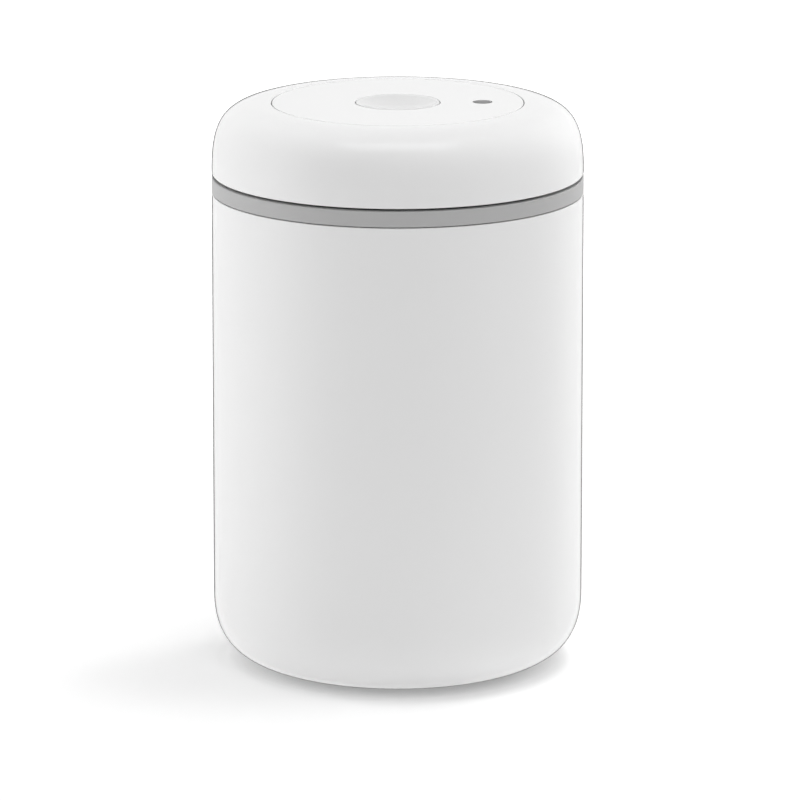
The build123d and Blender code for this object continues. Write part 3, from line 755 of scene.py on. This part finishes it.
def grey_band():
    outer, inner = collar_high[0], collar_high[0] - COLLAR_WALL
    outline = [
        (inner, collar_low[2], 0),
        (outer, collar_low[2], BAND_ROUND),
        (outer, collar_high[2], EDGE_ROUND),
        (inner, collar_high[2], 0),
    ]
    return fit(turn("grey_band", outline, GREY_SILICONE), "lid", "grey_collar", "collar_ring")


grey_band()


# Cap: domed ring that turns round the fixed disc

cap_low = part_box("cap_shell")[0]
plate_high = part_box("top_plate")[1]
TOP = plate_high[2]
PLATE_RADIUS = plate_high[0]
CAP_SKIRT_BOTTOM = TOP - PLATE_WALL - CAP_SKIRT_REACH


def cap_dome():
    hole = PLATE_RADIUS + PLATE_GAP
    outer, bottom = BODY_RADIUS, cap_low[2]
    inner = outer - CAP_WALL
    skirt = hole + CAP_WALL
    outline = soft_corner((hole, TOP), (outer, TOP - CROWN_RISE), CROWN_SHARE)
    outline[0] = (hole, TOP, EDGE_ROUND)
    outline += [(outer, bottom, CAP_EDGE_ROUND), (inner, bottom, FINE_ROUND)]
    outline += soft_corner((skirt, TOP - CAP_WALL), (inner, TOP - CROWN_RISE), CROWN_SHARE)[::-1]
    outline += [(skirt, CAP_SKIRT_BOTTOM, FINE_ROUND), (hole, CAP_SKIRT_BOTTOM, FINE_ROUND)]
    return fit(turn("cap_dome", outline, WHITE_ABS), "twist_cap", "white_moulding", "cap_shell")


cap_dome()


# Fixed disc with the button's bore and the indicator's hole

button_low, button_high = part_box("release_button")
dot_low, dot_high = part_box("indicator_pin")
BUTTON_RADIUS = button_high[0]
DOT_RADIUS = (dot_high[0] - dot_low[0]) / 2
DOT_CENTRE = (dot_low[0] + dot_high[0]) / 2


def bored(piece, cutter):
    """The piece with the cutter's shape cut out of it; the cutter is used up."""
    cut = piece.modifiers.new("hole", "BOOLEAN")
    cut.object = cutter
    cut.solver = "EXACT"
    holed = finished_mesh(piece)
    piece.modifiers.clear()
    piece.data = holed
    holed.set_sharp_from_angle(angle=SHARP_ANGLE)
    bpy.data.objects.remove(cutter)
    return level_flats(piece)


def fixed_disc():
    bore = BUTTON_RADIUS + BUTTON_GAP
    outline = [
        (bore, TOP, EDGE_ROUND),
        (PLATE_RADIUS, TOP, EDGE_ROUND),
        (PLATE_RADIUS, TOP - PLATE_WALL, 0),
        (bore, TOP - PLATE_WALL, 0),
    ]
    disc = turn("fixed_disc", outline, WHITE_ABS)
    hole = DOT_RADIUS + DOT_GAP
    low, high = TOP - 2 * PLATE_WALL, TOP + PLATE_WALL
    drill = turn(
        "drill",
        [(0, low, 0), (hole, low, 0), (hole, high, 0), (0, high, 0)],
        WHITE_ABS,
        centre=(DOT_CENTRE, 0),
        steps=SMALL_TURN_STEPS,
    )
    bored(disc, drill)
    return fit(disc, "lid", "white_moulding", "top_plate")


fixed_disc()


def dished_button():
    radius = BUTTON_RADIUS
    lip = radius - BUTTON_LIP
    dish_radius = (lip ** 2 + DISH_DEPTH ** 2) / (2 * DISH_DEPTH)
    dish_centre = TOP - DISH_DEPTH + dish_radius
    skirt_end = button_low[2] + BUTTON_HUB_REACH
    outline = [(0, TOP - DISH_DEPTH, 0)]
    for step in range(1, CURVE_STEPS):
        r = lip * step / CURVE_STEPS
        outline.append((r, dish_centre - math.sqrt(dish_radius ** 2 - r ** 2), 0))
    outline += [
        (lip, TOP, 0),
        (radius, TOP, BUTTON_LIP / 2),
        (radius, skirt_end, 0),
        (radius - BUTTON_WALL, skirt_end, 0),
        (radius - BUTTON_WALL, TOP - BUTTON_CROWN, 0),
        (0, TOP - BUTTON_CROWN, 0),
    ]
    button = turn("dished_button", outline, BUTTON_ABS)
    return fit(button, "release", "white_moulding", "release_button")


dished_button()


def vacuum_dot():
    outline = [
        (0, TOP, 0),
        (DOT_RADIUS, TOP, FINE_ROUND),
        (DOT_RADIUS, TOP - DOT_DEPTH, 0),
        (0, TOP - DOT_DEPTH, 0),
    ]
    dot = turn("vacuum_dot", outline, DOT_ABS, centre=(DOT_CENTRE, 0), steps=SMALL_TURN_STEPS)
    return fit(dot, "indicator", "grey_dot", "indicator_pin")


vacuum_dot()


# Coil springs under the button and the dot, which ride with the moving end

def coil_spring(name, node, body, wire, radius, turns, centre=0.0):
    """Spring as tall as its node; the whole spring rides with the body."""
    low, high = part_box(node)[0][2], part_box(node)[1][2]
    spring = grow(
        name,
        COIL,
        SPRING_STEEL,
        Radius=radius,
        Wire=wire,
        Low=low,
        High=high,
        Turns=turns,
        Centre=centre,
    )
    fit(spring, body, "steel", node)
    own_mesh(spring)


coil_spring(
    "button_coil_spring",
    "button_spring",
    "release",
    wire=0.3 * MM,
    radius=3.6 * MM,
    turns=8.0,
)
coil_spring(
    "dot_coil_spring",
    "indicator_spring",
    "indicator",
    wire=0.2 * MM,
    radius=2.4 * MM,
    turns=7.0,
    centre=DOT_CENTRE,
)


# Diaphragm under the dot: clamped rim, rolled wall and a crown

def rolling_diaphragm():
    low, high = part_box("indicator_diaphragm")
    rim, bottom, top = (high[0] - low[0]) / 2, low[2], high[2]
    root, crown = rim - DIAPHRAGM_RIM, DIAPHRAGM_CROWN
    inner_crown_round = DIAPHRAGM_INNER_SHARE * DIAPHRAGM_CROWN_ROUND
    inner_roll_round = DIAPHRAGM_INNER_SHARE * DIAPHRAGM_ROLL_ROUND
    outline = [
        (0, top - DIAPHRAGM_WALL, 0),
        (crown - DIAPHRAGM_WALL, top - DIAPHRAGM_WALL, inner_crown_round),
        (root - DIAPHRAGM_WALL, bottom, inner_roll_round),
        (rim, bottom, DIAPHRAGM_EDGE_ROUND),
        (rim, bottom + DIAPHRAGM_WALL, DIAPHRAGM_EDGE_ROUND),
        (root, bottom + DIAPHRAGM_WALL, DIAPHRAGM_ROLL_ROUND),
        (crown, top, DIAPHRAGM_CROWN_ROUND),
        (0, top, 0),
    ]
    piece = turn(
        "rolling_diaphragm",
        outline,
        CLEAR_SILICONE,
        centre=(DOT_CENTRE, 0),
        steps=SMALL_TURN_STEPS,
    )
    fit(piece, "lid", "clear_silicone", "indicator_diaphragm")
    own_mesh(piece)


rolling_diaphragm()


# Gasket in the lid's groove: a soft band with three upturned lips that reach the neck

def lipped_gasket():
    low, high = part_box("mouth_gasket")
    reach, bottom, top = high[0], low[2], high[2]
    face, back = reach - GASKET_REACH, reach - GASKET_REACH - GASKET_DEPTH
    groove = top - bottom + 2 * FIT_GAP
    outline = [(back, bottom, GASKET_ROUND), (face, bottom, GASKET_ROUND)]
    for lip in range(LIP_COUNT):
        level = bottom - FIT_GAP + groove / (LIP_COUNT + 1) * (lip + 0.5)
        outline += [
            (face, level, LIP_ROOT_ROUND),
            (reach, level + LIP_RISE, LIP_TIP_ROUND),
            (reach, level + LIP_RISE + LIP_WALL, LIP_TIP_ROUND),
            (face, level + 2 * LIP_WALL, LIP_ROOT_ROUND),
        ]
    outline += [(face, top, GASKET_ROUND), (back, top, GASKET_ROUND)]
    fit(turn("lipped_gasket", outline, CLEAR_SILICONE), "lid", "clear_silicone", "mouth_gasket")


lipped_gasket()


# Filter cup: its slots are cut with two rings of round-ended cutters

def slot_cutter(name, length, width, depth):
    """Upright round-ended bar, long way outwards, with its middle at the origin."""
    mesh = bpy.data.meshes.new(name)
    shape = bmesh.new()
    run, half_width = (length - width) / 2, width / 2
    lower = []
    for side, first in ((1, -90), (-1, 90)):
        for step in range(SLOT_END_STEPS + 1):
            a = math.radians(first + 180 * step / SLOT_END_STEPS)
            x, y = side * run + half_width * math.cos(a), half_width * math.sin(a)
            lower.append(shape.verts.new((x, y, -depth / 2)))
    base = shape.faces.new(lower)
    raised = bmesh.ops.extrude_face_region(shape, geom=[base])["geom"]
    bmesh.ops.translate(
        shape, vec=(0, 0, depth), verts=[v for v in raised if isinstance(v, bmesh.types.BMVert)]
    )
    bmesh.ops.recalc_face_normals(shape, faces=shape.faces)
    shape.to_mesh(mesh)
    shape.free()
    return dress(mesh, name, GREY_ABS)


def slotted_filter():
    low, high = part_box("filter_screen")
    radius, bottom, rim = high[0], low[2], high[2]
    plate_top = bottom + FILTER_WALL
    outline = [
        (0, bottom, 0),
        (radius, bottom, FILTER_WALL),
        (radius, rim, FINE_ROUND),
        (radius - FILTER_WALL, rim, FINE_ROUND),
        (radius - FILTER_WALL, plate_top, FINE_ROUND),
        (0, plate_top, 0),
    ]
    cup = turn("slotted_filter", outline, GREY_ABS)
    reach = radius - FILTER_RIM
    middle = (FILTER_HUB + reach) / 2
    length = middle - FILTER_HUB - FILTER_BRIDGE / 2
    bar = slot_cutter("slot_bar", length, FILTER_SLOT, 4 * FILTER_WALL)
    rings = ((INNER_SLOTS, FILTER_HUB + length / 2), (OUTER_SLOTS, reach - length / 2))
    for count, circle in rings:
        slots = grow(
            "slots",
            RING,
            GREY_ABS,
            Copy=bar,
            Count=count,
            Circle=circle,
            First=0.0,
            Step=2 * math.pi / count,
            Level=bottom + FILTER_WALL / 2,
        )
        bored(cup, slots)
    bpy.data.objects.remove(bar)
    fit(cup, "lid", "grey_moulding", "filter_screen")


slotted_filter()


# Screws with pan heads, cross recesses and coarse thread, in rings round the axis

def pan_head_screw(length, side):
    """Thread-forming screw with its head above the level 0 for side 1, and below it for -1."""
    outline = [
        (0, HEAD_HEIGHT, 0),
        (HEAD_RADIUS, HEAD_HEIGHT, HEAD_ROUND),
        (HEAD_RADIUS, 0, 0),
        (THREAD_CORE, 0, 0),
    ]
    crest = -THREAD_PITCH
    while crest - THREAD_PITCH > -length:
        outline += [
            (THREAD_CORE, crest + THREAD_PITCH / 2, 0),
            (THREAD_RADIUS, crest, 0),
            (THREAD_CORE, crest - THREAD_UNDERCUT, 0),
        ]
        crest -= THREAD_PITCH
    outline += [(THREAD_CORE, -length + THREAD_CORE / 2, 0), (0, -length, 0)]
    upright = [(r, side * z, radius) for r, z, radius in outline]
    screw = turn("screw", upright, ZINC_STEEL, steps=SCREW_STEPS)
    to_head = Matrix.Translation((0, 0, side * HEAD_HEIGHT))
    for turned in (0, math.pi / 2):
        bar = slot_cutter("recess", 2 * CROSS_REACH, CROSS_WIDTH, 2 * CROSS_BITE)
        bar.data.transform(to_head @ Matrix.Rotation(turned, 4, "Z"))
        bored(screw, bar)
    return screw


def screw_ring(name, node, body, side, count, first, length, circle, level):
    """One node's like screws on a circle, their heads resting on the level."""
    screw = pan_head_screw(length, side)
    ring = grow(
        name,
        RING,
        ZINC_STEEL,
        Copy=screw,
        Count=count,
        Circle=circle,
        First=first,
        Step=SCREW_SPACING,
        Level=level,
    )
    bpy.data.objects.remove(screw)
    fit(ring, body, "steel", node)


cover_low, cover_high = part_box("cover_screws")
screw_ring(
    "pump_cover_screws",
    "cover_screws",
    "lid",
    side=1,
    count=COVER_SCREWS,
    first=SCREW_SPACING,
    length=COVER_SCREW_LENGTH,
    circle=-cover_low[0] - HEAD_RADIUS,
    level=cover_high[2] - HEAD_HEIGHT,
)
driver_low, driver_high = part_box("driver_screws")
screw_ring(
    "driver_ring_screws",
    "driver_screws",
    "twist_cap",
    side=-1,
    count=DRIVER_SCREWS,
    first=0.0,
    length=driver_high[2] - driver_low[2] - HEAD_HEIGHT,
    circle=driver_high[0] - HEAD_RADIUS,
    level=driver_low[2] + HEAD_HEIGHT,
)


# Inner pieces that keep their CAD shape

INNER_FINISHES = {
    "lid_base": GREY_ABS,
    "pump_cover": GREY_ABS,
    "indicator_housing": GREY_ABS,
    "inlet_valve": CLEAR_SILICONE,
    "exhaust_valve": CLEAR_SILICONE,
    "duct_seal": CLEAR_SILICONE,
    "piston_seal": CLEAR_SILICONE,
    "stem_seal": CLEAR_SILICONE,
    "release_seal": CLEAR_SILICONE,
    "glide_ring": ACETAL,
    "cap_driver": ACETAL,
    "pump_piston": ACETAL,
    "sleeve_clip": SPRING_STEEL,
    "cam_pins": ZINC_STEEL,
    "release_stem": ZINC_STEEL,
}
for node_name, finish in INNER_FINISHES.items():
    for material_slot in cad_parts[node_name].material_slots:
        material_slot.material = finish


# Floor, background and light

# The camera sees the floor glow, a little near the object and up to pure white further off, and
# the object gets a weak glow from it as light from below. The floor also darkens softly where the
# canister stands close over it, which deepens the shadow there.
FLOOR_SIZE = 8.0
FLOOR_GLOW = 0.28
SHADE_REACH = 0.006
SHADE_DEPTH = 0.68
SHADE_SAMPLES = 4
FLOOR_NEAR = 0.25
FLOOR_FAR = 0.8
FLOOR_BOUNCE = 0.145
LIGHT_AIM_HEIGHT = 90 * MM
LIGHT_DISTANCE = 1.2


def shadow_floor():
    """White floor that the camera sees a little brighter than it is, and pure white further off."""
    material, tree = new_material("white_floor")
    sight = add_node(tree, "ShaderNodeLightPath")
    paper = add_node(tree, "ShaderNodeBsdfDiffuse", {"Color": linear("F3F3F3")})
    glow = add_node(tree, "ShaderNodeEmission", {"Color": (1, 1, 1, 1)})
    place = add_node(tree, "ShaderNodeTexCoord")
    distance = add_node(
        tree, "ShaderNodeVectorMath", {"operation": "LENGTH"}, {0: place.outputs["Object"]}
    )
    brighter = add_node(
        tree,
        "ShaderNodeMapRange",
        {"From Min": FLOOR_NEAR, "From Max": FLOOR_FAR, "To Min": FLOOR_GLOW, "To Max": 1.0},
        {"Value": distance.outputs["Value"]},
    )
    seen = add_node(
        tree,
        "ShaderNodeMath",
        {"operation": "MULTIPLY"},
        {0: sight.outputs["Is Camera Ray"], 1: brighter.outputs["Result"]},
    )
    bounced = add_node(
        tree,
        "ShaderNodeMath",
        {"operation": "MULTIPLY_ADD", 1: FLOOR_BOUNCE},
        {0: sight.outputs["Is Diffuse Ray"], 2: seen.outputs[0]},
    )
    tree.links.new(bounced.outputs[0], glow.inputs["Strength"])
    both = add_node(tree, "ShaderNodeAddShader", links={0: paper.outputs[0], 1: glow.outputs[0]})
    nearby = add_node(
        tree, "ShaderNodeAmbientOcclusion", {"samples": SHADE_SAMPLES, "Distance": SHADE_REACH}
    )
    shade = add_node(
        tree,
        "ShaderNodeMapRange",
        {"To Min": SHADE_DEPTH, "To Max": 1.0},
        {"Value": nearby.outputs["AO"]},
    )
    shaded = add_node(
        tree, "ShaderNodeMixShader", links={0: shade.outputs["Result"], 2: both.outputs[0]}
    )
    finish_surface(tree, shaded)
    mesh = bpy.data.meshes.new("floor")
    half = FLOOR_SIZE / 2
    corners = [(-half, -half, 0), (half, -half, 0), (half, half, 0), (-half, half, 0)]
    mesh.from_pydata(corners, [], [(0, 1, 2, 3)])
    mesh.materials.append(material)
    floor = bpy.data.objects.new("floor", mesh)
    floor.visible_glossy = False
    scene.collection.objects.link(floor)


shadow_floor()


# The dark card is a round patch of the surround right behind the object, which only gloss shows
CARD_AXIS = (0.0, math.cos(CAMERA_TILT), -math.sin(CAMERA_TILT))
CARD_INNER = math.radians(13)
CARD_OUTER = math.radians(15.5)
CARD_DEPTH = 1.0


def studio_background():
    """Surround that is white where it is seen or mirrored, gives no light, and holds the card."""
    world = bpy.data.worlds.new("studio")
    scene.world = world
    world.use_nodes = True
    tree = world.node_tree
    tree.nodes.clear()
    sight = add_node(tree, "ShaderNodeLightPath")
    place = add_node(tree, "ShaderNodeTexCoord")
    seen = add_node(
        tree,
        "ShaderNodeMath",
        {"operation": "MAXIMUM"},
        {0: sight.outputs["Is Camera Ray"], 1: sight.outputs["Is Transmission Ray"]},
    )
    shown = add_node(
        tree,
        "ShaderNodeMath",
        {"operation": "MAXIMUM"},
        {0: seen.outputs[0], 1: sight.outputs["Is Glossy Ray"]},
    )
    towards = add_node(
        tree,
        "ShaderNodeVectorMath",
        {"operation": "DOT_PRODUCT", 1: CARD_AXIS},
        {0: place.outputs["Generated"]},
    )
    card = add_node(
        tree,
        "ShaderNodeMapRange",
        {"From Min": math.cos(CARD_OUTER), "From Max": math.cos(CARD_INNER), "To Max": CARD_DEPTH},
        {"Value": towards.outputs["Value"]},
    )
    mirrored = add_node(
        tree,
        "ShaderNodeMath",
        {"operation": "MULTIPLY"},
        {0: sight.outputs["Is Glossy Ray"], 1: card.outputs["Result"]},
    )
    uncovered = add_node(
        tree, "ShaderNodeMath", {"operation": "SUBTRACT", 0: 1.0}, {1: mirrored.outputs[0]}
    )
    strength = add_node(
        tree,
        "ShaderNodeMath",
        {"operation": "MULTIPLY"},
        {0: shown.outputs[0], 1: uncovered.outputs[0]},
    )
    sky = add_node(
        tree, "ShaderNodeBackground", {"Color": (1, 1, 1, 1)}, {"Strength": strength.outputs[0]}
    )
    add_node(tree, "ShaderNodeOutputWorld", links={"Surface": sky.outputs[0]})


studio_background()


def soft_box(name, bearing, height, width, length, power, mirrored=False):
    """Rectangular studio lamp on a sphere round the object's middle, turned towards it."""
    lamp = bpy.data.lights.new(name, "AREA")
    lamp.shape = "RECTANGLE"
    lamp.size = width
    lamp.size_y = length
    lamp.energy = power
    box = bpy.data.objects.new(name, lamp)
    scene.collection.objects.link(box)
    around, above = math.radians(bearing), math.radians(height)
    outwards = Vector((
        math.cos(above) * math.sin(around), -math.cos(above) * math.cos(around), math.sin(above)
    ))
    box.location = Vector((0, 0, LIGHT_AIM_HEIGHT)) + LIGHT_DISTANCE * outwards
    box.rotation_euler = (-outwards).to_track_quat("-Z", "Y").to_euler()
    box.visible_glossy = mirrored


# Bearings are degrees round from the camera's side, to the right
soft_box("left_rim", bearing=-110, height=14, width=0.5, length=0.45, power=4.4)
soft_box("left_side", bearing=-75, height=10, width=0.6, length=0.45, power=3.45)
soft_box("right_side", bearing=78, height=14, width=0.6, length=0.9, power=3.4)
soft_box("right_rim", bearing=135, height=8, width=0.4, length=0.45, power=5.7)
soft_box("front", bearing=4, height=25, width=1.0, length=0.8, power=3.65)
soft_box("overhead", bearing=110, height=84, width=0.5, length=0.5, power=4.3)
soft_box("overhead_back", bearing=122, height=68, width=0.7, length=0.6, power=3.3)
soft_box("shoulder_light", bearing=0, height=81, width=0.9, length=0.6, power=2.0, mirrored=True)


def place_camera():
    data = bpy.data.cameras.new("photo_camera")
    data.lens = CAMERA_LENS
    data.sensor_width = CAMERA_SENSOR
    data.shift_x = AXIS_OFFSET_PX / IMAGE_WIDTH_PX
    data.clip_end = CAMERA_REACH
    camera = bpy.data.objects.new("photo_camera", data)
    scene.collection.objects.link(camera)
    aim = Vector((0, 0, CAMERA_AIM_HEIGHT))
    towards_camera = Vector((0, -math.cos(CAMERA_TILT), math.sin(CAMERA_TILT)))
    camera.location = aim + CAMERA_DISTANCE * towards_camera
    camera.rotation_euler = (aim - camera.location).to_track_quat("-Z", "Y").to_euler()
    scene.camera = camera


place_camera()
